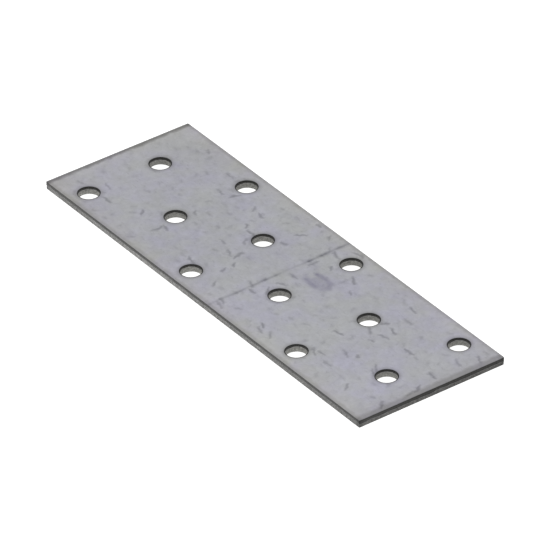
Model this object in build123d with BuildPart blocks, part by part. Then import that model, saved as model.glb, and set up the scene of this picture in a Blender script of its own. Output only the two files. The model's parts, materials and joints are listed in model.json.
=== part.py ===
from build123d import *
import os

# Mending plate: a flat rectangle of galvanised steel sheet, sheared to size and
# punched with two-hole rows that step sideways from one row to the next.
# Millimetres. Origin at the centre of the underside, +X along the length,
# +Y across the width, +Z up through the thickness.

# ---- sheet ----
length = 120.0
width = 40.0
thickness = 2.0

# ---- screw holes ----
hole_diameter = 5.0
row_pitch = 20.0  # between rows, along the length
lane_pitch = 10.0  # between lanes, across the width
rows = 6
lanes = 4

# ---- cut ends (blanking shear): rolled-over top edge, smooth land, broken part ----
end_roll_width = 1.30
end_roll_depth = 0.15
end_land_foot = 1.00  # height of the land's lower edge above the underside
end_break_in = 0.05  # how far the broken part leans in at the underside

# ---- long edges (slit from coil): the same three zones, shallower ----
side_roll_width = 0.90
side_roll_depth = 0.11
side_land_foot = 1.25
side_break_in = 0.04

# ---- punched hole walls: rolled mouth, smooth land, broken part flaring out ----
mouth_roll_width = 0.25
mouth_roll_depth = 0.14
hole_land_foot = 1.40
hole_break_out = 0.06

half_length = length / 2
half_width = width / 2
hole_radius = hole_diameter / 2


def row_x(row):
    return (row - (rows - 1) / 2) * row_pitch


def lane_y(lane):
    return (lane - (lanes - 1) / 2) * lane_pitch


# odd rows use lanes 0 and 2, even rows use lanes 1 and 3
hole_centres = [
    (row_x(row), lane_y(lane))
    for row in range(rows)
    for lane in range(row % 2, lanes, 2)
]


# The punch's negative: half of its section, turned round the hole's axis.
# From the top: a quarter ellipse for the rolled mouth, the straight land that
# gives the hole its size, and the broken part that flares out below it.
with BuildPart() as punched_space:
    with BuildSketch(Plane.XZ):
        with BuildLine():
            mouth = EllipticalCenterArc(
                (hole_radius + mouth_roll_width, thickness - mouth_roll_depth),
                mouth_roll_width,
                mouth_roll_depth,
                start_angle=90,
                arc_size=90,
            )
            above = thickness + 1.0
            below = -1.0
            Polyline(
                mouth @ 1,
                (hole_radius, hole_land_foot),
                (hole_radius + hole_break_out, 0),
                (hole_radius + hole_break_out, below),
                (0, below),
                (0, above),
                (hole_radius + mouth_roll_width, above),
                mouth @ 0,
            )
        make_face()
    revolve(axis=Axis.Z)


with BuildPart() as plate:
    # Section across the width, with both slit edges, run the full length.
    with BuildSketch(Plane.YZ):
        with BuildLine():
            side_roll = EllipticalCenterArc(
                (half_width - side_roll_width, thickness - side_roll_depth),
                side_roll_width,
                side_roll_depth,
                start_angle=0,
                arc_size=90,
            )
            Polyline(
                side_roll @ 0,
                (half_width, side_land_foot),
                (half_width - side_break_in, 0),
                (0, 0),
                (0, thickness),
                side_roll @ 1,
            )
        make_face()
        mirror(about=Plane.YZ)
    extrude(amount=half_length, both=True)

    # Section along the length, with both cut ends, keeps what the two share.
    with BuildSketch(Plane.XZ):
        with BuildLine():
            end_roll = EllipticalCenterArc(
                (half_length - end_roll_width, thickness - end_roll_depth),
                end_roll_width,
                end_roll_depth,
                start_angle=0,
                arc_size=90,
            )
            Polyline(
                end_roll @ 0,
                (half_length, end_land_foot),
                (half_length - end_break_in, 0),
                (0, 0),
                (0, thickness),
                end_roll @ 1,
            )
        make_face()
        mirror(about=Plane.YZ)
    extrude(amount=half_width, both=True, mode=Mode.INTERSECT)

    # The screw holes.
    with Locations(*hole_centres):
        add(punched_space.part, mode=Mode.SUBTRACT)

plate.part.label = "plate"

os.makedirs("parts", exist_ok=True)
export_step(plate.part, "parts/plate.step")

box = plate.part.bounding_box()
print("plate", len(plate.part.solids()), "solid", round(plate.part.volume, 2), "mm3")
print("box", [round(v, 4) for v in (box.min.X, box.min.Y, box.min.Z, box.max.X, box.max.Y, box.max.Z)])
print("holes", len(hole_centres), "land cylinders", len(plate.part.faces().filter_by(GeomType.CYLINDER)))
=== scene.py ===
import json
import math

import bpy
import numpy as np
from mathutils import Matrix, Vector
from mathutils.geometry import delaunay_2d_cdt


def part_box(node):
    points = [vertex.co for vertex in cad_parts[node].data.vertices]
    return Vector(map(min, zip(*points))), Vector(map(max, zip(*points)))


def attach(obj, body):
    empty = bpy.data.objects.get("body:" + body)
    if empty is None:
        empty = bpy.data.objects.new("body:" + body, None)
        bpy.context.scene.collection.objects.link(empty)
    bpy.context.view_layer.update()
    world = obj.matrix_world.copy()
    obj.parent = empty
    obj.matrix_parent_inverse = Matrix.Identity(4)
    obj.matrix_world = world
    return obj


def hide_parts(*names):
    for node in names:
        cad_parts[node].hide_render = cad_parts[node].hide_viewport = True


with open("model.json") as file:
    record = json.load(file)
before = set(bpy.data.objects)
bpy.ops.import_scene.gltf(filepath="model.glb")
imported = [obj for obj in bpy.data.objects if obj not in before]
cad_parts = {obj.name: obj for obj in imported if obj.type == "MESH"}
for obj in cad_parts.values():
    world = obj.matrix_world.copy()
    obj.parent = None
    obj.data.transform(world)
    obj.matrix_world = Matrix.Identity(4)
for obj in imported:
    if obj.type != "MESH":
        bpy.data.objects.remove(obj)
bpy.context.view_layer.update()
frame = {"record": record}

# ---------------------------------------------------------------------------
# Sizes, in millimetres: the plate's length, width, thickness and holes are read from the imported frame, the section's
# are given below.
# The mesh is built in millimetres and scaled to metres at the end.
# ---------------------------------------------------------------------------
box_lo, box_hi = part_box("plate")
HALF_L = (box_hi.x - box_lo.x) * 500.0
HALF_W = (box_hi.y - box_lo.y) * 500.0
THICK = (box_hi.z - box_lo.z) * 1000.0
HOLES = np.array([[m["pos_m"][0] * 1000.0, m["pos_m"][1] * 1000.0]
                  for m in frame["record"]["mounts"] if m["kind"] == "bore"])
HOLE_R = [m["dims"]["r_mm"] for m in frame["record"]["mounts"] if m["kind"] == "bore"][0]

# The sheared section: rolled-over shoulder, smooth land, broken part.
END_ROLL, END_DROP, END_FOOT, END_LEAN = 1.30, 0.15, 1.00, 0.05
SIDE_ROLL, SIDE_DROP, SIDE_FOOT, SIDE_LEAN = 0.90, 0.11, 1.25, 0.04
MOUTH_ROLL, MOUTH_DROP, MOUTH_FOOT, MOUTH_FLARE = 0.25, 0.14, 1.40, 0.06
CORNER_R = 0.20


# ---------------------------------------------------------------------------
# Small tools
# ---------------------------------------------------------------------------
def lattice(ix, iy, seed):
    """A repeatable random number from 0 to 1 at each lattice point."""
    h = (ix.astype(np.int64) * 374761393 + iy.astype(np.int64) * 668265263 + seed * 1442695041) & 0xFFFFFFFF
    h = ((h ^ (h >> 13)) * 1274126177) & 0xFFFFFFFF
    h = ((h ^ (h >> 16)) * 2246822519) & 0xFFFFFFFF
    return ((h ^ (h >> 15)) & 0xFFFFFF) / float(0xFFFFFF)


def noise(x, y, seed):
    """Smooth value noise, -1 to 1."""
    x, y = np.asarray(x, float), np.asarray(y, float)
    ix, iy = np.floor(x), np.floor(y)
    fx, fy = x - ix, y - iy
    fx, fy = fx * fx * fx * (fx * (fx * 6 - 15) + 10), fy * fy * fy * (fy * (fy * 6 - 15) + 10)
    a = lattice(ix, iy, seed) * (1 - fx) + lattice(ix + 1, iy, seed) * fx
    b = lattice(ix, iy + 1, seed) * (1 - fx) + lattice(ix + 1, iy + 1, seed) * fx
    return 2 * (a * (1 - fy) + b * fy) - 1


def smoothstep(e0, e1, x):
    t = np.clip((np.asarray(x, float) - e0) / (e1 - e0), 0, 1)
    return t * t * (3 - 2 * t)


def quarter_drop(d, wide, deep):
    """How far a rolled shoulder has dropped at distance d in from the cut: a quarter ellipse."""
    t = np.clip((wide - np.asarray(d, float)) / wide, 0, 1)
    return deep * (1 - np.sqrt(np.clip(1 - t * t, 0, 1)))


# ---------------------------------------------------------------------------
# Marks on the top face. Each is a short shallow stroke:
# (x, y, length, angle in degrees, bend), in three groups by strength
# ---------------------------------------------------------------------------
DARK_MARKS = [
    (-45, -13.5, 3, 0, -0.1), (-36, -10, 2.5, -45, 0), (-28.5, 10.5, 3, 75, -0.1), (-27.5, -9.5, 2.5, -15, 0),
    (-14, 4.5, 3, 0, -0.1), (-13.5, -12.5, 3, -15, 0.1), (-8.5, -3, 3, -75, 0.1), (-6, -6, 2, -45, 0.1),
    (5, -9, 2.5, 0, -0.1), (5, 14.5, 3, -15, 0.1), (8, 18.5, 3, 15, -0.1), (15.5, 11.5, 3, -30, 0),
    (17.5, -15, 2, -30, -0.1), (30, -3.5, 3, 15, 0), (33.5, 7, 2, 45, 0), (37, 6.5, 3, -15, 0),
    (40, -5.5, 1.5, -30, 0.1), (45.5, 4.5, 3, 0, 0.1), (56, 3, 3, 0, 0.1), (58, -12.5, 3, -45, -0.1),
    (58, -2.5, 3, -60, -0.1),
]
CLEAR_MARKS = [
    (-49.5, -10, 3, -15, 0), (-47, 16.5, 2, -30, -0.1), (-28.5, -11, 3, 90, 0.1), (-18.5, 10.5, 2.5, -15, 0),
    (-17, 5.5, 2, -30, -0.1), (-7, 18.5, 2, 0, -0.1), (-6.5, 13, 3, 45, 0), (-6, -9, 2, -75, -0.1),
    (-6, 8, 2, 15, -0.1), (-2.5, -14, 2.5, -60, 0.1), (4.5, 8.5, 3, -90, 0.1), (7, -6, 3, -45, 0),
    (32.5, -12, 3, -30, 0), (33, 15, 3, -15, 0.1), (33.5, 2.5, 3, -30, -0.1), (46, -5, 3, -30, -0.1),
    (48, -14.5, 2.5, -45, 0), (57.5, 15, 2.5, -30, 0.1),
]
FAINT_MARKS = [
    (-54.5, -14, 2.5, 15, 0.1), (-36, 14.5, 3, 0, 0), (-32, 9, 3, 0, 0.1), (-28.5, -0.5, 2, -30, 0.1),
    (-21.5, 11, 2.5, -45, 0), (-15, -2.5, 2.5, 0, 0.1), (-12, 1.5, 3, -45, 0.1), (-10.5, -4, 3, -15, 0.1),
    (-1.5, 17.5, 2, -45, 0.1), (2.5, -7.5, 3, -15, -0.1), (4, -16.5, 2.5, -15, 0), (5, -18, 3, -15, -0.1),
    (6, 2, 2.5, 0, 0), (7, -2, 3, 30, 0), (8.5, 10.5, 2, -45, -0.1), (18.5, -16.5, 3, -15, 0.1),
    (19, 8, 2, -30, -0.1), (21.5, -16, 2.5, -30, -0.1), (34, -11, 2.5, 0, 0.1), (36, 11.5, 3, 0, 0),
    (37, 0.5, 2, 15, -0.1), (37.5, -7, 3, -15, -0.1), (37.5, 3.5, 3, 15, -0.1), (38, -12.5, 3, 0, 0.1),
    (47, -6.5, 3, -30, 0), (55.5, 10.5, 3, -15, 0), (58.5, -5, 2.5, -75, 0),
]
MARKS = []
for group, strength in ((DARK_MARKS, 1.45), (CLEAR_MARKS, 1.12), (FAINT_MARKS, 0.90)):
    for x, y, length, angle, bend in group:
        MARKS.append((x, y, 1.25 * length, 0.78, angle, 1.0 * strength, 0.6 * bend))

# The line across the middle, from the back edge (y = +) to the front one.
LINE_X0, LINE_SLOPE = 3.15, -0.010
# how dark it is: a faint base, fading to the front edge, with darker knots (place, half length, darkness)
LINE_KNOTS = [(-12.0, 1.6, 0.55), (-6.8, 0.9, 0.25), (-4.0, 0.9, 0.45), (-1.2, 0.7, 0.25), (8.6, 0.9, 0.65), (12.5, 1.4, 0.70), (17.3, 1.5, 0.50)]


def line_strength(y):
    y = np.asarray(y, float)
    s = 0.42 + 0.16 * smoothstep(-14.0, -9.0, y) - 0.24 * smoothstep(-1.0, 1.5, y) * smoothstep(8.0, 5.5, y)
    for at, half, dark in LINE_KNOTS:
        s = s + dark * np.exp(-(((y - at) / half) ** 2))
    s = s * (1 + 0.20 * noise(y / 0.9, y * 0 + 3.1, 41) + 0.15 * noise(y / 0.35, y * 0 + 8.2, 42))
    return np.clip(s, 0, 1.4)


def stroke_shape(x, y, mark):
    mx, my, length, width, angle, strength, bend = mark
    a = math.radians(angle)
    u = (x - mx) * math.cos(a) + (y - my) * math.sin(a)
    v = -(x - mx) * math.sin(a) + (y - my) * math.cos(a) - bend * (u * u - length * length / 8)
    ends = np.clip(1 - np.abs(u / (length * 0.5)) ** 2.4, 0, 1)
    return ends * np.exp(-((v / (width * 0.42)) ** 2))


rng = np.random.default_rng(11)
SMALL_MARKS = []
while len(SMALL_MARKS) < 115:  # clear of one another and of the strokes above
    x, y = rng.uniform(-58.5, 58.5), rng.uniform(-18.6, 18.6)
    if min((x - m[0]) ** 2 + (y - m[1]) ** 2 for m in MARKS + SMALL_MARKS) > 2.4 ** 2:
        SMALL_MARKS.append((x, y, rng.uniform(1.5, 2.9), 0.88, rng.normal(-4, 34), rng.uniform(0.28, 0.54), rng.normal(0, 0.08)))
for _ in range(170):
    SMALL_MARKS.append((rng.uniform(-58.5, 58.5), rng.uniform(-18.6, 18.6), rng.uniform(0.7, 2.0), rng.uniform(0.45, 0.8),
                        rng.normal(-8, 24), rng.uniform(0.08, 0.30), rng.normal(0, 0.1)))
BOTTOM_MARKS = []
for _ in range(90):
    BOTTOM_MARKS.append((rng.uniform(-58.5, 58.5), rng.uniform(-18.6, 18.6), rng.uniform(0.8, 4.2), rng.uniform(0.25, 0.5),
                         rng.normal(0, 20), rng.uniform(0.2, 0.8), rng.normal(0, 0.06)))


def top_marks(x, y):
    """Stain 0..1 of the strokes on the top face. They are ragged: the path wavers and the depth varies."""
    stain = np.zeros_like(x)
    x, y = x + 0.22 * noise(x / 0.75, y / 0.75, 21) + 0.08 * noise(x / 0.3, y / 0.3, 22), y + 0.22 * noise(x / 0.75, y / 0.75, 23) + 0.08 * noise(x / 0.3, y / 0.3, 24)
    ragged = (0.92 + 0.26 * noise(x / 0.55, y / 0.55, 25)) * (0.80 + 0.42 * smoothstep(-54, -40, x))  # the far end is the least worn
    for m in MARKS + SMALL_MARKS:
        near = (np.abs(x - m[0]) < 2.6) & (np.abs(y - m[1]) < 2.6)
        if near.any():
            s = stroke_shape(x[near], y[near], m) * m[5]
            stain[near] = np.maximum(stain[near], s)
    return 1.18 * (1 - np.exp(-1.05 * stain * ragged))


def top_flank_highlights(x, y):
    """Pale strips beside each stroke, 0..1: a painted highlight standing in for light caught on the sides of the dents.
    """
    pale = np.zeros_like(x)
    for m in MARKS:
        near = (np.abs(x - m[0]) < 3.2) & (np.abs(y - m[1]) < 3.2)
        if near.any():
            wide = (m[0], m[1], m[2] + 0.9, m[3] * 2.3, m[4], m[5], m[6])
            pale[near] = np.maximum(pale[near], stroke_shape(x[near], y[near], wide) * m[5])
    return np.clip(pale - 0.5 * top_marks(x, y), 0, 1) * (0.75 + 0.4 * noise(x / 0.9, y / 0.9, 26))


def bottom_marks(x, y):
    stain = np.zeros_like(x)
    for m in BOTTOM_MARKS:
        near = (np.abs(x - m[0]) < 3.2) & (np.abs(y - m[1]) < 3.2)
        if near.any():
            stain[near] = np.maximum(stain[near], stroke_shape(x[near], y[near], m) * m[5])
    return stain


def line_groove(x, y):
    xl = LINE_X0 + LINE_SLOPE * y + 0.14 * noise(y / 2.3, y * 0 + 1.7, 44)
    wide = 0.40 + 0.14 * np.clip(line_strength(y) - 0.7, 0, 1)
    return np.exp(-(((x - xl) / wide) ** 2)) * line_strength(y)


def smudge(x, y):
    """The oval smear beside the line: two dark arms that meet at the right, open to the left."""
    def arm(x0, y0, x1, y1, wide, dark):
        t = np.clip(((x - x0) * (x1 - x0) + (y - y0) * (y1 - y0)) / ((x1 - x0) ** 2 + (y1 - y0) ** 2), 0, 1)
        d = np.hypot(x - x0 - t * (x1 - x0), y - y0 - t * (y1 - y0))
        return dark * np.exp(-((d / wide) ** 2))

    wx = x + 0.25 * noise(x / 1.4, y / 1.4, 51)
    x, y = wx, y + 0.20 * noise(x / 1.1 + 9, y / 1.1, 53)
    arms = [arm(8.4, 6.6, 10.4, 6.8, 0.62, 1.25), arm(9.6, 6.9, 13.6, 6.5, 0.85, 0.95), arm(13.6, 6.4, 14.6, 5.2, 0.75, 0.85),
            arm(14.6, 5.2, 14.0, 3.6, 0.70, 0.75), arm(8.4, 3.5, 12.2, 3.1, 0.72, 1.05), arm(12.0, 3.2, 13.6, 3.5, 0.60, 0.55),
            arm(7.2, 4.3, 8.6, 3.7, 0.60, 0.50), arm(5.2, 8.3, 8.2, 6.9, 0.70, 0.38), arm(5.6, 2.2, 6.6, 1.8, 0.55, 0.40)]
    inside = np.clip(1 - ((x - 11.6) / 3.2) ** 2 - ((y - 5.0) / 2.0) ** 2, 0, 1)
    s = np.maximum.reduce(arms)
    s = np.maximum(s, 0.55 * smoothstep(0.0, 0.5, inside))
    return np.clip(s * (0.88 + 0.18 * noise(x / 0.6, y / 0.6, 52)), 0, 1.4)


def hole_distance(x, y):
    x, y = np.asarray(x, float), np.asarray(y, float)
    return np.sqrt(((x[..., None] - HOLES[:, 0]) ** 2 + (y[..., None] - HOLES[:, 1]) ** 2).min(-1))


def edge_distances(x, y):
    return HALF_L - np.abs(x), HALF_W - np.abs(y)


def top_height(x, y, ex=None, ey=None):
    """Height of the top face. ex, ey are the distances in from the cuts."""
    if ex is None:
        ex, ey = edge_distances(x, y)
    vary = 1 + 0.10 * noise(x / 5.0, y / 5.0, 61)
    drop = np.maximum(quarter_drop(ex, END_ROLL * vary, END_DROP), quarter_drop(ey, SIDE_ROLL * vary, SIDE_DROP))
    wave = 0.0030 * (1 + noise(x / 7.0, y / 7.0, 62)) + 0.0012 * (1 + noise(x / 2.1, y / 2.1, 63))
    fade = smoothstep(0, 0.8, np.minimum(ex, ey))
    dents = 0.030 * top_marks(x, y) + 0.045 * np.clip(line_groove(x, y), 0, 1.2)
    dents = dents + 0.042 * smoothstep(HOLE_R + 1.35, HOLE_R + MOUTH_ROLL, hole_distance(x, y))
    return THICK - drop - wave * fade - dents * smoothstep(0.05, 0.5, np.minimum(ex, ey))


def bottom_height(x, y):
    ex, ey = edge_distances(x, y)
    fade = smoothstep(0, 1.0, np.minimum(ex, ey))
    wave = 0.0030 * (1 + noise(x / 8.0, y / 8.0, 72)) + 0.0012 * (1 + noise(x / 2.4, y / 2.4, 73))
    return (wave + 0.02 * bottom_marks(x, y)) * fade


# ---------------------------------------------------------------------------
# The outline: one path of points, used for every ring from the shoulder to the underside
# ---------------------------------------------------------------------------
def outline(step):
    """Rounded rectangle, anticlockwise. Returns the points and the same points with square corners."""
    r = CORNER_R
    pts, square, kind = [], [], []
    corners = [(HALF_L, HALF_W, 0), (-HALF_L, HALF_W, 90), (-HALF_L, -HALF_W, 180), (HALF_L, -HALF_W, 270)]
    for i, (cx, cy, a0) in enumerate(corners):
        ox, oy = cx - math.copysign(r, cx), cy - math.copysign(r, cy)
        for k in range(5):
            a = math.radians(a0 + 90 * k / 4)
            pts.append((ox + r * math.cos(a), oy + r * math.sin(a)))
            square.append((cx, cy))
        nx, ny, _ = corners[(i + 1) % 4]
        sx, sy = pts[-1]
        b0 = math.radians(corners[(i + 1) % 4][2])
        tx, ty = nx - math.copysign(r, nx) + r * math.cos(b0), ny - math.copysign(r, ny) + r * math.sin(b0)
        n = int(round(math.hypot(tx - sx, ty - sy) / step))
        for k in range(1, n):
            x, y = sx + (tx - sx) * k / n, sy + (ty - sy) * k / n
            pts.append((x, y))
            square.append((x, y))
    return np.array(pts), np.array(square)


OUT, OUT_SQ = outline(0.34)
N_OUT = len(OUT)
# 0 on the long sides, 1 on the ends, blending round the corner on the walls
end_share = smoothstep(0.9, 0.0, HALF_L - np.abs(OUT_SQ[:, 0]))
arc = np.concatenate([[0], np.cumsum(np.hypot(*np.diff(OUT, axis=0).T))])


def inset_ring(ux, uy, z):
    p = OUT * np.array([(HALF_L - ux) / HALF_L, (HALF_W - uy) / HALF_W])[None, :] if np.isscalar(ux) else \
        OUT * np.stack([(HALF_L - ux) / HALF_L, (HALF_W - uy) / HALF_W], 1)
    return np.c_[p, z]


def shoulder_rings():
    rings = []
    for deg in (0, 18, 34, 48, 60, 70, 79, 90):
        t = math.sin(math.radians(deg))
        ux, uy = END_ROLL * (1 - t), SIDE_ROLL * (1 - t)
        sq = OUT_SQ * np.array([(HALF_L - ux) / HALF_L, (HALF_W - uy) / HALF_W])
        p = OUT * np.array([(HALF_L - ux) / HALF_L, (HALF_W - uy) / HALF_W])
        z = top_height(p[:, 0], p[:, 1], HALF_L - np.abs(sq[:, 0]), HALF_W - np.abs(sq[:, 1]))
        rings.append(np.c_[p, z])
    return rings


LIP = 0.05


def outer_wall_rings(z_start):
    """Rings of the land and the broken part below the shoulder. Returns (rings, zone values)."""
    s = arc
    foot = END_FOOT * end_share + SIDE_FOOT * (1 - end_share)
    foot = foot + 0.10 * noise(s / 2.6, s * 0, 81) + 0.07 * noise(s / 0.8, s * 0 + 5, 82)
    lean = END_LEAN * end_share + SIDE_LEAN * (1 - end_share)
    rings, zone = [], []
    for f in (0.30, 0.62, 0.90, 1.0):
        z = z_start + (foot - z_start) * f
        rings.append(inset_ring(0.0, 0.0, z))
        zone.append(1.0)
    normal_in = True
    for k, f in enumerate((0.09, 0.2, 0.32, 0.45, 0.58, 0.71, 0.84, 0.95, 1.0)):
        z = foot * (1 - f)
        rough = 0.028 * noise(s / 0.55, z / 0.30 + 10, 83) + 0.016 * noise(s / 0.28, z / 0.16 + 30, 84)
        rough = rough * smoothstep(0, 0.12, f) * smoothstep(1.0, 0.9, f)
        u = lean * f ** 0.8 + 0.012 + rough
        u = np.clip(u, 0.0, None)
        if f == 1.0:
            z = z * 0
            u = lean + 0.012
        rings.append(inset_ring(u, u, z))
        zone.append(2.0)
    # a narrow lip on the underside, where the zinc begins
    rings.append(inset_ring(u + LIP, u + LIP, z))
    zone.append(3.0)
    return rings, zone


N_HOLE = 76
HOLE_ANG = np.linspace(0, 2 * math.pi, N_HOLE, endpoint=False)


def hole_rings(index):
    """All rings of one hole, from the mouth down."""
    cx, cy = HOLES[index]
    ca, sa = np.cos(HOLE_ANG), np.sin(HOLE_ANG)
    # noise that closes on itself round the hole
    wob = lambda k, seed: noise(ca * k + 40 + index * 7.3, sa * k + 9.1, seed)
    rings, zone = [], []
    roll = MOUTH_ROLL * (1 + 0.12 * wob(1.2, 91))
    for deg in (0, 25, 45, 62, 77, 90):
        t = math.sin(math.radians(deg))
        r = HOLE_R + roll * (1 - t)
        x, y = cx + r * ca, cy + r * sa
        drop = MOUTH_DROP * (1 - math.cos(math.radians(deg)))
        z = top_height(x, y) - drop
        if deg > 60:
            z = THICK - drop + 0 * z
        rings.append(np.c_[x, y, z])
        zone.append(0.0 if deg < 60 else 0.5 if deg < 90 else 1.0)
    z0 = rings[-1][:, 2]
    foot = MOUTH_FOOT + 0.09 * wob(1.6, 92) + 0.06 * wob(4.5, 93)
    for f in (0.35, 0.75, 1.0):
        z = z0 + (foot - z0) * f
        rings.append(np.c_[cx + HOLE_R * ca, cy + HOLE_R * sa, z])
        zone.append(1.0)
    for f in (0.10, 0.23, 0.38, 0.54, 0.70, 0.86, 1.0):
        z = foot * (1 - f)
        rough = 0.022 * noise(HOLE_ANG * 5.0 + index * 13.7, z / 0.28, 94 + index) * math.sin(math.pi * min(1.0, f * 1.02)) ** 0.5 if f < 1 else 0 * z
        r = HOLE_R + MOUTH_FLARE * f ** 0.8 + 0.008 + rough
        r = np.maximum(r, HOLE_R)
        rings.append(np.c_[cx + r * ca, cy + r * sa, z])
        zone.append(2.0)
    rings.append(np.c_[cx + (r + LIP) * ca, cy + (r + LIP) * sa, z])
    zone.append(3.0)
    return rings, zone


# ---------------------------------------------------------------------------
# Points of a face: a lattice that is finer near the marks, kept clear of the rings
# ---------------------------------------------------------------------------
def face_points(coarse, levels, wanted, edge_x, edge_y, hole_gap):
    pts = []
    for level in range(levels):
        step = coarse / 2 ** level
        xs = np.arange(-HALF_L, HALF_L, step) + step * 0.5 if level == 0 else np.arange(-HALF_L, HALF_L, step)
        ys = np.arange(-HALF_W, HALF_W, step)
        X, Y = np.meshgrid(xs, ys)
        if level == 0:
            X = X + np.where((np.arange(len(ys)) % 2)[:, None] == 0, 0, step / 2)
        X, Y = X.ravel(), Y.ravel()
        size = wanted(X, Y)
        keep = size <= (coarse / 2 ** level) if level else np.ones(len(X), bool)
        if level == 0:
            keep &= size > coarse / 2 * 1.0
        elif level < levels - 1:
            keep &= size > coarse / 2 ** (level + 1)
        margin = step * 0.65
        keep &= (np.abs(X) < HALF_L - edge_x - margin) & (np.abs(Y) < HALF_W - edge_y - margin)
        d = np.sqrt(((X[:, None] - HOLES[None, :, 0]) ** 2 + (Y[:, None] - HOLES[None, :, 1]) ** 2)).min(1)
        keep &= d > HOLE_R + hole_gap + min(margin, 0.28)
        pts.append(np.c_[X[keep], Y[keep]])
    return np.concatenate(pts)


def mark_reach(x, y, marks):
    """Rough distance to the nearest mark, in millimetres."""
    best = np.full(x.shape, 9.0)
    for m in marks:
        near = (np.abs(x - m[0]) < 3.5) & (np.abs(y - m[1]) < 3.5)
        if not near.any():
            continue
        a = math.radians(m[4])
        u = (x[near] - m[0]) * math.cos(a) + (y[near] - m[1]) * math.sin(a)
        v = -(x[near] - m[0]) * math.sin(a) + (y[near] - m[1]) * math.cos(a)
        d = np.hypot(np.clip(np.abs(u) - m[2] / 2, 0, None), np.clip(np.abs(v) - m[3] / 2, 0, None))
        best[near] = np.minimum(best[near], d)
    return best


def top_size(x, y):
    d = mark_reach(x, y, MARKS)
    d = np.minimum(d, mark_reach(x, y, SMALL_MARKS) + 0.10)
    line = np.clip(np.abs(x - LINE_X0 - LINE_SLOPE * y) - 0.35, 0, None)
    d = np.minimum(d, line)
    rim = np.clip(hole_distance(x, y) - HOLE_R - 0.9, 0, None)
    return np.minimum(np.clip(0.12 + 0.9 * d, 0.12, 9), 0.27 + 0.9 * rim)


def bottom_size(x, y):
    return np.clip(0.24 + 0.9 * mark_reach(x, y, BOTTOM_MARKS), 0.2, 9)


def triangulate(points, loops):
    """Constrained triangulation of points plus closed loops; the loops' points come first. Returns (points, triangles)."""
    pts = np.concatenate([l[:, :2] for l in loops] + [points])
    edges, at = [], 0
    for l in loops:
        n = len(l)
        edges += [(at + k, at + (k + 1) % n) for k in range(n)]
        at += n
    out = delaunay_2d_cdt([Vector(p) for p in pts.tolist()], edges, [], 0, 1e-7)
    verts = np.array([v[:] for v in out[0]])
    tris = np.array([f for f in out[2]], dtype=np.int64)
    origin = np.full(len(verts), -1)
    for i, o in enumerate(out[3]):
        if len(o):
            origin[i] = o[0]
    if (origin < 0).any() or len(set(origin.tolist())) != len(pts):
        raise RuntimeError("the triangulation added or merged points")
    tris = origin[tris]
    c = pts[tris].mean(1)
    inside = np.ones(len(tris), bool)
    # drop the triangles whose three corners all lie on one hole's ring
    at = len(loops[0])
    owner = np.full(len(pts), -1)
    owner[:at] = 0
    for i, l in enumerate(loops[1:], 1):
        owner[at:at + len(l)] = i
        at += len(l)
    o = owner[tris]
    same = (o[:, 0] == o[:, 1]) & (o[:, 1] == o[:, 2]) & (o[:, 0] > 0)
    inside &= ~same
    # and those outside the outline
    same0 = (o == 0).all(1)
    area = np.cross(pts[tris[:, 1]] - pts[tris[:, 0]], pts[tris[:, 2]] - pts[tris[:, 0]])
    flat = np.abs(area) < 1e-9
    inside &= ~(same0 & flat)
    tris, area = tris[inside], area[inside]
    flip = area < 0
    tris[flip] = tris[flip][:, ::-1]
    return pts, tris


# ---------------------------------------------------------------------------
# Put the plate together
# ---------------------------------------------------------------------------
class Builder:
    def __init__(self):
        self.co, self.zone, self.tri, self.count = [], [], [], 0
        self.sharp_sets = []

    def add(self, co, zone):
        start = self.count
        self.co.append(co)
        self.zone.append(np.full(len(co), zone, float) if np.isscalar(zone) else zone)
        self.count += len(co)
        return np.arange(start, start + len(co))

    def band(self, a, b):
        """Quads between two closed rings of equal length, as triangles, a above b, anticlockwise rings, facing out."""
        n = len(a)
        a2, b2 = np.roll(a, -1), np.roll(b, -1)
        odd = np.arange(n) % 2 == 0
        t1 = np.where(odd[:, None], np.stack([a, b, b2], 1), np.stack([a, b, a2], 1))
        t2 = np.where(odd[:, None], np.stack([a, b2, a2], 1), np.stack([a2, b, b2], 1))
        self.tri += [t1, t2]


build = Builder()

shoulder = shoulder_rings()
ring_ids = []
for k, r in enumerate(shoulder):
    ring_ids.append(build.add(r, 0.0 if k < 5 else (0.25, 0.6, 1.0)[k - 5]))
wall, wall_zone = outer_wall_rings(shoulder[-1][:, 2])
for r, z in zip(wall, wall_zone):
    ring_ids.append(build.add(r, z))
for a, b in zip(ring_ids[:-1], ring_ids[1:]):
    build.band(a, b)
out_bottom, out_lip = ring_ids[-2], ring_ids[-1]
out_land_foot = ring_ids[len(shoulder) + 3]

hole_top_ids, hole_bottom_ids, hole_lip_ids, hole_mouth, hole_foot = [], [], [], [], []
for i in range(len(HOLES)):
    rings, zone = hole_rings(i)
    ids = [build.add(r, z) for r, z in zip(rings, zone)]
    for a, b in zip(ids[:-1], ids[1:]):
        build.band(b, a)  # a hole's wall faces its axis
    hole_top_ids.append(ids[0])
    hole_bottom_ids.append(ids[-2])
    hole_lip_ids.append(ids[-1])
    hole_foot.append(rings[-1])
    hole_mouth.append(rings[0])

# top face
inner = face_points(0.60, 3, top_size, END_ROLL, SIDE_ROLL, MOUTH_ROLL * 1.1)
pts, tris = triangulate(inner, [shoulder[0]] + hole_mouth)
n_loop = N_OUT + N_HOLE * len(HOLES)
ix, iy = inner[:, 0], inner[:, 1]
ids = build.add(np.c_[inner, top_height(ix, iy)], 0.0)
lookup = np.concatenate([ring_ids[0]] + hole_top_ids + [ids])
build.tri.append(lookup[tris])
TOP_TRIS = len(tris)

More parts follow.
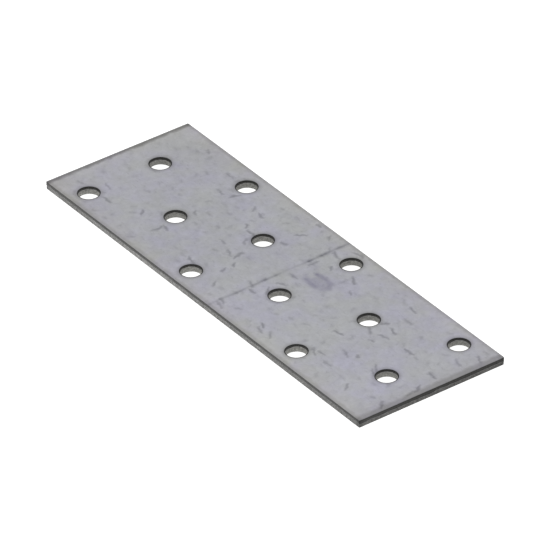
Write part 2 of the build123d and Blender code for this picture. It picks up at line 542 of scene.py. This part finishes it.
# underside
under = face_points(1.0, 3, bottom_size, END_LEAN, SIDE_LEAN, MOUTH_FLARE)
pts, tris = triangulate(under, [wall[-1]] + hole_foot)
ids = build.add(np.c_[under, bottom_height(under[:, 0], under[:, 1])], 3.0)
lookup = np.concatenate([out_lip] + hole_lip_ids + [ids])
build.tri.append(lookup[tris][:, ::-1])
BOTTOM_TRIS = len(tris)

CO = np.concatenate(build.co)
ZONE = np.concatenate(build.zone)
TRI = np.concatenate(build.tri)
CO[:, 2] = np.clip(CO[:, 2], 0.0, THICK)
print("plate mesh:", len(CO), "vertices,", len(TRI), "triangles; top", TOP_TRIS, "underside", BOTTOM_TRIS)

mesh = bpy.data.meshes.new("mending_plate")
mesh.vertices.add(len(CO))
mesh.vertices.foreach_set("co", (CO * 0.001).astype(np.float32).ravel())
mesh.loops.add(len(TRI) * 3)
mesh.loops.foreach_set("vertex_index", TRI.astype(np.int32).ravel())
mesh.polygons.add(len(TRI))
mesh.polygons.foreach_set("loop_start", np.arange(0, len(TRI) * 3, 3, dtype=np.int32))
mesh.update(calc_edges=True)
mesh.validate(verbose=False)
mesh.polygons.foreach_set("use_smooth", np.ones(len(mesh.polygons), bool))

# crisp lines where the real edge is crisp: the bottom arris of the outline and of each hole, and the foot of the land
sharp_tag = np.full(len(CO), -1)
sharp_tag[out_bottom] = 0
sharp_tag[out_land_foot] = 50
for i, h in enumerate(hole_bottom_ids):
    sharp_tag[h] = 1 + i
ev = np.empty(len(mesh.edges) * 2, np.int32)
mesh.edges.foreach_get("vertices", ev)
ev = ev.reshape(-1, 2)
sharp = (sharp_tag[ev[:, 0]] >= 0) & (sharp_tag[ev[:, 0]] == sharp_tag[ev[:, 1]])
mesh.attributes.new("sharp_edge", "BOOLEAN", "EDGE")
mesh.attributes["sharp_edge"].data.foreach_set("value", sharp)

# masks for the finish
top_side = (ZONE < 1.0) & (CO[:, 2] > THICK * 0.5)
stain = np.zeros(len(CO))
line = np.zeros(len(CO))
smear = np.zeros(len(CO))
pale = np.zeros(len(CO))
stain[top_side] = top_marks(CO[top_side, 0], CO[top_side, 1])
line[top_side] = line_groove(CO[top_side, 0], CO[top_side, 1])
smear[top_side] = smudge(CO[top_side, 0], CO[top_side, 1])
# pale: the painted highlight beside the strokes
pale[top_side] = top_flank_highlights(CO[top_side, 0], CO[top_side, 1])
under_side = ZONE == 3.0
stain[under_side] = bottom_marks(CO[under_side, 0], CO[under_side, 1])
land = np.clip(1 - np.abs(ZONE - 1.0), 0, 1)
land[ZONE > 2.5] = 0
broken = np.clip(ZONE - 1.0, 0, 1) * (ZONE < 2.5)
for name, values in (("land", land), ("broken", broken), ("stain", stain), ("line", line), ("smear", smear), ("pale", pale)):
    a = mesh.attributes.new(name, "FLOAT", "POINT")
    a.data.foreach_set("value", values.astype(np.float32))

plate = bpy.data.objects.new("mending_plate", mesh)
bpy.context.scene.collection.objects.link(plate)
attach(plate, "root")
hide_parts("plate")


# ---------------------------------------------------------------------------
# Finish
# ---------------------------------------------------------------------------
class Nodes:
    """Short names for building a node tree."""

    def __init__(self, material):
        material.use_nodes = True
        self.t = material.node_tree
        self.t.nodes.clear()

    def new(self, kind, **props):
        n = self.t.nodes.new(kind)
        for k, v in props.items():
            setattr(n, k, v)
        return n

    def put(self, socket, value):
        if isinstance(value, bpy.types.NodeSocket):
            self.t.links.new(value, socket)
        elif value is not None:
            socket.default_value = value

    def attribute(self, name):
        return self.new("ShaderNodeAttribute", attribute_name=name).outputs["Fac"]

    def math(self, op, a, b=None, c=None, clamp=False):
        n = self.new("ShaderNodeMath", operation=op, use_clamp=clamp)
        self.put(n.inputs[0], a)
        self.put(n.inputs[1], b)
        if c is not None:
            self.put(n.inputs[2], c)
        return n.outputs[0]

    def ramp(self, value, stops, interpolation="LINEAR"):
        n = self.new("ShaderNodeValToRGB")
        n.color_ramp.interpolation = interpolation
        while len(n.color_ramp.elements) < len(stops):
            n.color_ramp.elements.new(0.5)
        for e, (pos, col) in zip(n.color_ramp.elements, stops):
            e.position = pos
            e.color = (*col, 1.0) if isinstance(col, tuple) else (col, col, col, 1.0)
        self.put(n.inputs[0], value)
        return n.outputs["Color"]

    def mix(self, factor, a, b, blend="MIX"):
        n = self.new("ShaderNodeMix", data_type="RGBA", blend_type=blend)
        self.put(n.inputs[0], factor)
        self.put(n.inputs[6], (*a, 1.0) if isinstance(a, tuple) else a)
        self.put(n.inputs[7], (*b, 1.0) if isinstance(b, tuple) else b)
        return n.outputs[2]

    def remap(self, value, a, b, c, d):
        n = self.new("ShaderNodeMapRange", clamp=True)
        for i, v in enumerate((value, a, b, c, d)):
            self.put(n.inputs[i], v)
        return n.outputs[0]

    def noise(self, vector, scale, detail=2.0, rough=0.5, distortion=0.0):
        n = self.new("ShaderNodeTexNoise")
        self.put(n.inputs["Vector"], vector)
        n.inputs["Scale"].default_value = scale
        n.inputs["Detail"].default_value = detail
        n.inputs["Roughness"].default_value = rough
        n.inputs["Distortion"].default_value = distortion
        return n.outputs["Fac"]

    def scaled(self, vector, sx, sy, sz, turn=0.0):
        n = self.new("ShaderNodeMapping")
        self.put(n.inputs["Vector"], vector)
        n.inputs["Scale"].default_value = (sx, sy, sz)
        n.inputs["Rotation"].default_value = (0, 0, turn)
        return n.outputs[0]


zinc = bpy.data.materials.new("galvanised_steel")
N = Nodes(zinc)
coord = N.new("ShaderNodeTexCoord").outputs["Object"]
mm = N.scaled(coord, 1000, 1000, 1000)  # millimetres
sep = N.new("ShaderNodeSeparateXYZ")
N.put(sep.inputs[0], mm)
X, Y, Z = sep.outputs

land_m, broken_m = N.attribute("land"), N.attribute("broken")
stain_m, line_m, smear_m, flank_highlight_m = N.attribute("stain"), N.attribute("line"), N.attribute("smear"), N.attribute("pale")

# distance in from the ends, from the long edges, and from the nearest hole's axis
wander = N.math("MULTIPLY", N.math("SUBTRACT", N.noise(mm, 0.45, 2.0, 0.5), 0.5), 1.1)
from_end = N.math("ADD", N.math("SUBTRACT", HALF_L, N.math("ABSOLUTE", X)), wander)
from_side = N.math("ADD", N.math("SUBTRACT", HALF_W, N.math("ABSOLUTE", Y)), wander)


def from_lattice(x0, y0):
    """Distance to the nearest point of a 40 x 20 mm grid through (x0, y0)."""
    u = N.math("SUBTRACT", N.math("FLOORED_MODULO", N.math("ADD", X, 20.0 - x0 + 400.0), 40.0), 20.0)
    v = N.math("SUBTRACT", N.math("FLOORED_MODULO", N.math("ADD", Y, 10.0 - y0 + 200.0), 20.0), 10.0)
    return N.math("SQRT", N.math("ADD", N.math("MULTIPLY", u, u), N.math("MULTIPLY", v, v)))


from_axis = N.math("MINIMUM", from_lattice(*HOLES[0]), from_lattice(*HOLES[2]))
above = N.remap(Z, THICK - 0.60, THICK - 0.40, 0, 1)  # only the upper side and what rolls off it
end_roll = N.math("ADD", from_end, N.remap(X, -HALF_L, HALF_L, 0.20, 0.0))
end_roll = N.math("MULTIPLY", N.remap(end_roll, 1.95, 1.02, 0, 1), above)
side_roll = N.math("MULTIPLY", N.remap(from_side, 1.20, 0.40, 0, 1), above)
mouth = N.math("MULTIPLY", N.remap(from_axis, HOLE_R + 0.30, HOLE_R + 0.18, 0, 1), above)
dish_shade = N.math("MULTIPLY", N.math("POWER", N.remap(from_axis, HOLE_R + 1.50, HOLE_R + 0.30, 0, 1), 1.6), above)
rim_near = N.math("MULTIPLY", N.remap(N.math("MINIMUM", from_end, from_side), 4.5, 0.8, 0, 1), above)
in_hole = N.remap(from_axis, HOLE_R + 0.30, HOLE_R + 0.20, 0, 1)

# zinc: broad drift, cloudy mottle at several sizes, a fine grain drawn out along the rolling direction
broad = N.noise(mm, 0.055, 1.0, 0.4)
cloud = N.noise(mm, 0.20, 2.0, 0.5, 0.4)
hue = N.noise(N.scaled(mm, 1, 1, 1, 0.6), 0.17, 1.5, 0.5)
hue_far = N.noise(N.scaled(mm, 1, 1, 1, 2.1), 0.065, 1.0, 0.5)
hue = N.math("ADD", N.math("MULTIPLY", hue, 0.52), N.math("MULTIPLY", hue_far, 0.48))
hue2 = N.noise(N.scaled(mm, 1, 1, 1, 1.3), 0.26, 1.0, 0.5)
mottle = N.noise(mm, 0.62, 3.0, 0.72, 0.5)
grain = N.noise(N.scaled(mm, 1.0, 2.2, 1.0, 0.16), 0.85, 3.0, 0.62, 0.4)
fleck = N.ramp(grain, [(0.0, 0.0), (0.575, 0.0), (0.70, 1.0)], "EASE")


def centred(v, amount):
    return N.math("MULTIPLY", N.math("SUBTRACT", v, 0.5), amount)


tone = N.math("ADD", centred(broad, 0.10), 0.991)
tone = N.math("ADD", tone, centred(cloud, 0.13))
tone = N.math("ADD", tone, centred(mottle, 0.45))
tone = N.math("SUBTRACT", tone, N.math("MULTIPLY", fleck, 0.10))
tone = N.math("ADD", tone, N.math("MULTIPLY", X, 0.00059))
tone = N.math("ADD", tone, N.math("MULTIPLY", N.math("MULTIPLY", X, X), 4.0e-6))
tone = N.math("SUBTRACT", tone, N.math("MULTIPLY", Y, 0.00057))
tone = N.math("ADD", tone, N.math("MULTIPLY", N.math("MULTIPLY", Y, Y), 3.3e-5))
tone = N.math("ADD", tone, N.remap(X, -HALF_L + 10.0, -HALF_L + 2.0, 0, 0.045))
# painted shade: darker over the last 6 mm of the near end, where the shoulder begins to roll off
tone = N.math("SUBTRACT", tone, N.remap(X, HALF_L - 6.0, HALF_L - 1.8, 0, 0.080))
# painted highlight: lighter tone along the flanks of the strokes
tone = N.math("ADD", tone, N.math("MULTIPLY", flank_highlight_m, 0.07))
zinc_a = N.mix(N.remap(hue, 0.40, 0.60, 0, 1), (0.560, 0.569, 0.590), (0.557, 0.555, 0.637))
zinc_a = N.mix(N.remap(hue2, 0.42, 0.70, 0, 0.55), zinc_a, (0.560, 0.569, 0.570))
tone_rgb = N.new("ShaderNodeCombineColor")
for i in range(3):
    N.put(tone_rgb.inputs[i], tone)
zinc_c = N.mix(1.0, zinc_a, tone_rgb.outputs[0], "MULTIPLY")
zinc_c = N.mix(N.math("MULTIPLY", stain_m, 0.56, clamp=True), zinc_c, (0.22, 0.22, 0.25))
zinc_c = N.mix(N.math("MULTIPLY", line_m, 0.54, clamp=True), zinc_c, (0.12, 0.12, 0.15))
zinc_c = N.mix(N.math("MULTIPLY", smear_m, 0.52, clamp=True), zinc_c, (0.25, 0.235, 0.36))
# tints near the ends, the long edges and the corner at the far end of the front edge; then painted shade on the rolled
# shoulders, in a ring round each hole and in each hole's mouth
# painted shade on the rolled shoulders: at the ends, much darker at the far end than at the near one; along the long
# edges, a little darker
end_roll_shade = N.mix(N.remap(X, -HALF_L, HALF_L, 0, 1), (0.530, 0.527, 0.516), (0.765, 0.760, 0.745))
side_roll_shade = N.mix(N.remap(Y, -HALF_W, HALF_W, 0, 1), (0.825, 0.821, 0.805), (0.810, 0.807, 0.793))
zinc_c = N.mix(N.remap(X, -HALF_L + 28.0, -HALF_L + 4.0, 0, 0.40), zinc_c, N.mix(1.0, zinc_c, (1.012, 0.996, 0.975), "MULTIPLY"))
zinc_c = N.mix(N.remap(X, HALF_L - 38.0, HALF_L - 12.0, 0, 1), zinc_c, N.mix(1.0, zinc_c, (0.998, 0.993, 1.011), "MULTIPLY"))
zinc_c = N.mix(N.remap(from_side, 9.0, 2.0, 0, 1), zinc_c, N.mix(1.0, zinc_c, (1.006, 1.004, 0.992), "MULTIPLY"))
zinc_c = N.mix(rim_near, zinc_c, N.mix(1.0, zinc_c, (1.010, 0.999, 0.972), "MULTIPLY"))
left_corner = N.math("MAXIMUM", N.math("ADD", X, HALF_L), N.math("ADD", Y, HALF_W))
zinc_c = N.mix(N.remap(left_corner, 9.0, 1.0, 0, 1), zinc_c, N.mix(1.0, zinc_c, (0.945, 0.930, 0.955), "MULTIPLY"))
zinc_c = N.mix(end_roll, zinc_c, N.mix(1.0, zinc_c, end_roll_shade, "MULTIPLY"))
zinc_c = N.mix(side_roll, zinc_c, N.mix(1.0, zinc_c, side_roll_shade, "MULTIPLY"))
# painted shade: darker in a ring round each hole, where the top face dips towards it
zinc_c = N.mix(dish_shade, zinc_c, N.mix(1.0, zinc_c, (0.750, 0.747, 0.733), "MULTIPLY"))
# painted shade: a near-black band round each hole's mouth, where the top of the wall lies in shade
zinc_c = N.mix(N.math("MULTIPLY", mouth, 0.96), zinc_c, (0.024, 0.0235, 0.022))

# bare cut steel: the smooth land and the broken part
streak = N.noise(N.scaled(mm, 3.0, 3.0, 0.35), 1.6, 3.0, 0.65)
pit = N.noise(mm, 1.6, 4.0, 0.70)
patch = N.noise(mm, 0.35, 2.0, 0.5)
# the land's near-black colour is partly the burnished steel and partly painted shade, standing in for the dark the land
# reflects
land_c = N.ramp(streak, [(0.30, (0.015, 0.0147, 0.0137)), (0.70, (0.036, 0.0353, 0.0333))])
broken_c = N.ramp(pit, [(0.30, (0.040, 0.040, 0.038)), (0.70, (0.185, 0.183, 0.174))])
broken_c = N.mix(N.remap(patch, 0.35, 0.65, 0.35, 0.0), broken_c, (0.055, 0.054, 0.050))
# painted light: on the long sides the broken part is a lit copy, about twice as bright as on the ends and varying along
# the length; it is darker towards its top
on_side = N.remap(N.math("ABSOLUTE", Y), HALF_W - 0.20, HALF_W - 0.08, 0, 1)
along = N.ramp(N.remap(X, -HALF_L, HALF_L, 0, 1), [(0.0, 0.72), (0.10, 0.75), (0.32, 0.98), (0.45, 0.84), (0.60, 0.76), (0.80, 0.68), (1.0, 0.62)])
broken_c = N.mix(on_side, broken_c, N.mix(1.0, N.mix(1.0, broken_c, along, "MULTIPLY"), (2.06, 2.06, 2.11), "MULTIPLY"))
broken_c = N.mix(N.math("MULTIPLY", on_side, N.remap(Z, 1.06, 1.24, 0, 0.75)), broken_c, (0.026, 0.0255, 0.024))
# painted light: the broken part inside the holes is a lighter copy, standing in for the light that reaches the hole
# walls from below
broken_c = N.mix(in_hole, broken_c, N.ramp(pit, [(0.30, (0.145, 0.144, 0.135)), (0.70, (0.35, 0.347, 0.326))]))
colour = N.mix(land_m, zinc_c, land_c)
colour = N.mix(broken_m, colour, broken_c)
# the cut corners are burred and darker
corner = N.math("MAXIMUM", N.math("SUBTRACT", HALF_L, N.math("ABSOLUTE", X)), N.math("SUBTRACT", HALF_W, N.math("ABSOLUTE", Y)))
corner = N.math("MULTIPLY", N.remap(corner, 1.5, 0.4, 0, 1), N.math("MAXIMUM", land_m, broken_m))
colour = N.mix(corner, colour, N.mix(1.0, colour, (0.55, 0.55, 0.55), "MULTIPLY"))

rough = N.math("ADD", centred(mottle, 0.22), 0.44)
rough = N.math("ADD", rough, N.math("MULTIPLY", stain_m, 0.10))
rough = N.math("ADD", rough, N.math("MULTIPLY", smear_m, 0.08))
rough = N.math("ADD", rough, N.math("MULTIPLY", end_roll, 0.06))
rough = N.math("ADD", N.math("MULTIPLY", rough, N.math("SUBTRACT", 1.0, land_m)), N.math("MULTIPLY", land_m, 0.42))
rough = N.math("ADD", N.math("MULTIPLY", rough, N.math("SUBTRACT", 1.0, broken_m)), N.math("MULTIPLY", broken_m, 0.72), clamp=True)
metal = N.math("SUBTRACT", 1.0, N.math("ADD", N.math("MULTIPLY", broken_m, 0.75), N.math("MULTIPLY", land_m, 0.45)), clamp=True)

relief = N.math("ADD", N.math("MULTIPLY", N.noise(mm, 2.4, 3.0, 0.6), 0.006), N.math("MULTIPLY", N.noise(mm, 7.0, 2.0, 0.5), 0.0015))
relief = N.math("ADD", relief, N.math("MULTIPLY", N.math("MULTIPLY", pit, broken_m), 0.05))
relief = N.math("ADD", relief, N.math("MULTIPLY", N.math("MULTIPLY", streak, land_m), 0.015))
bump = N.new("ShaderNodeBump")
bump.inputs["Strength"].default_value = 1.0
bump.inputs["Distance"].default_value = 0.001
N.put(bump.inputs["Height"], relief)

bsdf = N.new("ShaderNodeBsdfPrincipled")
N.put(bsdf.inputs["Metallic"], metal)
N.put(bsdf.inputs["Base Color"], colour)
N.put(bsdf.inputs["Roughness"], rough)
N.put(bsdf.inputs["Normal"], bump.outputs["Normal"])
bsdf.inputs["Specular IOR Level"].default_value = 0.30
out = N.new("ShaderNodeOutputMaterial")
N.put(out.inputs["Surface"], bsdf.outputs[0])
mesh.materials.append(zinc)


# ---------------------------------------------------------------------------
# Stage
# ---------------------------------------------------------------------------
floor_mesh = bpy.data.meshes.new("floor")
S = 3.0
floor_mesh.from_pydata([(-S, -S, 0), (S, -S, 0), (S, S, 0), (-S, S, 0)], [], [(0, 1, 2, 3)])
floor = bpy.data.objects.new("floor", floor_mesh)
floor.location.z = -0.00002
bpy.context.scene.collection.objects.link(floor)
pale = bpy.data.materials.new("pale_floor")
F = Nodes(pale)
fb = F.new("ShaderNodeBsdfPrincipled")
fb.inputs["Base Color"].default_value = (0.8, 0.8, 0.8, 1)
fb.inputs["Roughness"].default_value = 0.9
fb.inputs["Specular IOR Level"].default_value = 0.0
fb.inputs["Emission Color"].default_value = (1, 1, 1, 1)
fp = F.new("ShaderNodeLightPath").outputs["Is Camera Ray"]
fg = F.new("ShaderNodeNewGeometry").outputs["Position"]
fd = F.new("ShaderNodeVectorMath", operation="LENGTH")
F.put(fd.inputs[0], fg)
# painted light: the floor glows for every ray but the camera's, most near the plate and in front of it, so it lights
# the plate; the camera sees it evenly bright
glow = F.remap(fd.outputs["Value"], 0.25, 0.9, 0.80, 0.30)
# the light comes from the front, so the floor in front of the plate is the brighter part
fs = F.new("ShaderNodeSeparateXYZ")
F.put(fs.inputs[0], fg)
glow = F.math("MULTIPLY", glow, F.remap(fs.outputs["Y"], 0.0, -0.045, 1.0, 2.3))
glow = F.math("ADD", F.math("MULTIPLY", fp, 0.80), F.math("MULTIPLY", F.math("SUBTRACT", 1.0, fp), glow))
F.put(fb.inputs["Emission Strength"], glow)
F.put(F.new("ShaderNodeOutputMaterial").inputs["Surface"], fb.outputs[0])
floor_mesh.materials.append(pale)

# The world is a soft band of light all round, brightest at about a third of the way up; the camera sees it white.
world = bpy.data.worlds.new("studio")
bpy.context.scene.world = world
world.use_nodes = True
wt = world.node_tree
wt.nodes.clear()


def world_node(kind, **props):
    n = wt.nodes.new(kind)
    for k, v in props.items():
        setattr(n, k, v)
    return n


wc = world_node("ShaderNodeTexCoord")
ws = world_node("ShaderNodeSeparateXYZ")
wt.links.new(wc.outputs["Generated"], ws.inputs[0])
wr = world_node("ShaderNodeValToRGB")
ramp_stops = [(0.0, 0.55), (0.50, 0.50), (0.62, 0.60), (0.78, 0.74), (0.90, 0.62), (1.0, 0.52)]
while len(wr.color_ramp.elements) < len(ramp_stops):
    wr.color_ramp.elements.new(0.5)
for e, (pos, v) in zip(wr.color_ramp.elements, ramp_stops):
    e.position, e.color = pos, (v, v, v, 1)
wm = world_node("ShaderNodeMapRange")
wm.inputs["From Min"].default_value, wm.inputs["From Max"].default_value = -1.0, 1.0
wt.links.new(ws.outputs[2], wm.inputs["Value"])
wt.links.new(wm.outputs[0], wr.inputs[0])
soft = world_node("ShaderNodeBackground")
wt.links.new(wr.outputs["Color"], soft.inputs["Color"])
soft.inputs["Strength"].default_value = 1.085
white = world_node("ShaderNodeBackground")
white.inputs["Color"].default_value = (1, 1, 1, 1)
wp = world_node("ShaderNodeLightPath")
wx = world_node("ShaderNodeMixShader")
wt.links.new(wp.outputs["Is Camera Ray"], wx.inputs[0])
wt.links.new(soft.outputs[0], wx.inputs[1])
wt.links.new(white.outputs[0], wx.inputs[2])
wo = world_node("ShaderNodeOutputWorld")
wt.links.new(wx.outputs[0], wo.inputs["Surface"])


def area_light(name, at, size, power, target=(0, 0, 0)):
    data = bpy.data.lights.new(name, "AREA")
    data.shape = "DISK"
    data.size = size
    data.energy = power
    o = bpy.data.objects.new(name, data)
    o.location = at
    o.rotation_mode = "QUATERNION"
    o.rotation_quaternion = (Vector(target) - Vector(at)).to_track_quat("-Z", "Y")
    o.visible_camera = False
    bpy.context.scene.collection.objects.link(o)
    return o


area_light("key", (-0.65, -1.0, 0.62), 1.2, 0.9)

# ---------------------------------------------------------------------------
# Camera
# ---------------------------------------------------------------------------
AZ, EL, ROLL = math.radians(54.526), math.radians(34.120), math.radians(-1.240)
DIST, FOCAL_PX, TARGET = 1.7953, 7982.1, Vector((0.000548, 0.000617, 0.0))
back = Vector((math.sin(AZ) * math.cos(EL), -math.cos(AZ) * math.cos(EL), math.sin(EL)))
right = Vector((math.cos(AZ), math.sin(AZ), 0))
up = back.cross(right)
right, up = right * math.cos(ROLL) + up * math.sin(ROLL), up * math.cos(ROLL) - right * math.sin(ROLL)
cam_data = bpy.data.cameras.new("camera")
cam_data.sensor_width = 36.0
cam_data.lens = FOCAL_PX / 550.0 * 36.0
cam_data.clip_start, cam_data.clip_end = 0.01, 10.0
cam = bpy.data.objects.new("camera", cam_data)
cam.matrix_world = Matrix.Translation(TARGET + back * DIST) @ Matrix((right, up, back)).transposed().to_4x4()
bpy.context.scene.collection.objects.link(cam)
bpy.context.scene.camera = cam
bpy.context.scene.view_settings.view_transform = "Standard"

bpy.context.view_layer.update()
